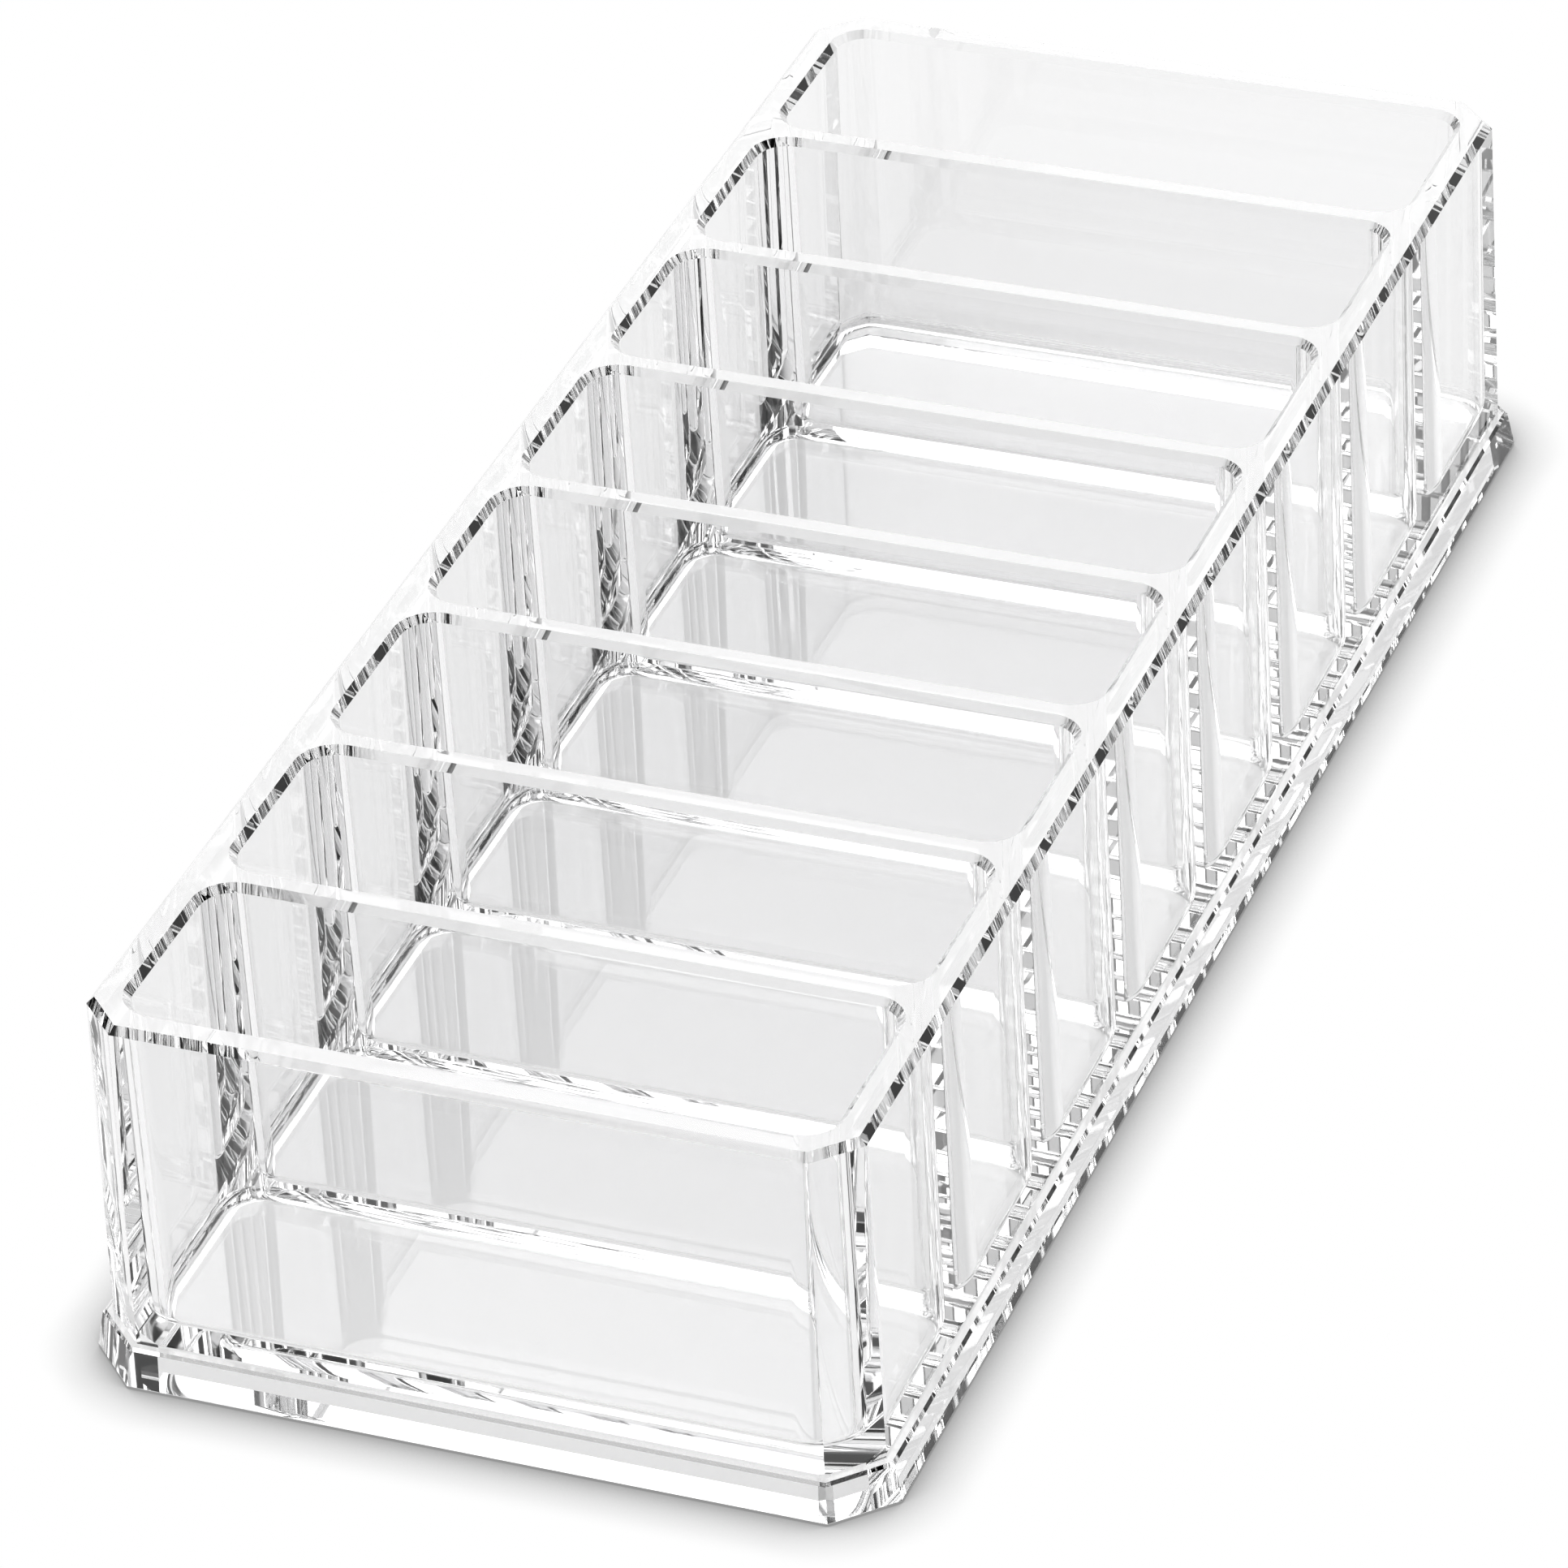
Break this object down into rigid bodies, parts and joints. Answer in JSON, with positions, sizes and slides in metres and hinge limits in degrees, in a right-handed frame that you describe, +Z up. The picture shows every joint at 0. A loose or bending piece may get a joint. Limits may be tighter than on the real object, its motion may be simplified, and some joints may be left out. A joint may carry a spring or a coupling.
{
  "type": "vanity organizer",
  "caption": "Long low clear organizer tray with a row of equal open compartments between cross dividers, cut corners, bevelled rim and a low hollow base, for compacts and palettes.",
  "frame": {"origin": "middle of the underside, in the plane of the base plate's rim that the organizer stands on", "axes": "+Z up, X across the organizer's width, +Y along its length from the front compartment to the rear one"},
  "size_m": [0.095, 0.24, 0.047],
  "materials": {
    "clear_plastic": "clear, colourless, polished moulded plastic with crisp bevelled edges"
  },
  "bodies": {
    "root": {"base_plate": "clear_plastic", "tray_shell": "clear_plastic", "divider_1": "clear_plastic", "divider_2": "clear_plastic", "divider_3": "clear_plastic", "divider_4": "clear_plastic", "divider_5": "clear_plastic", "divider_6": "clear_plastic", "divider_7": "clear_plastic"}
  },
  "joints": []
}
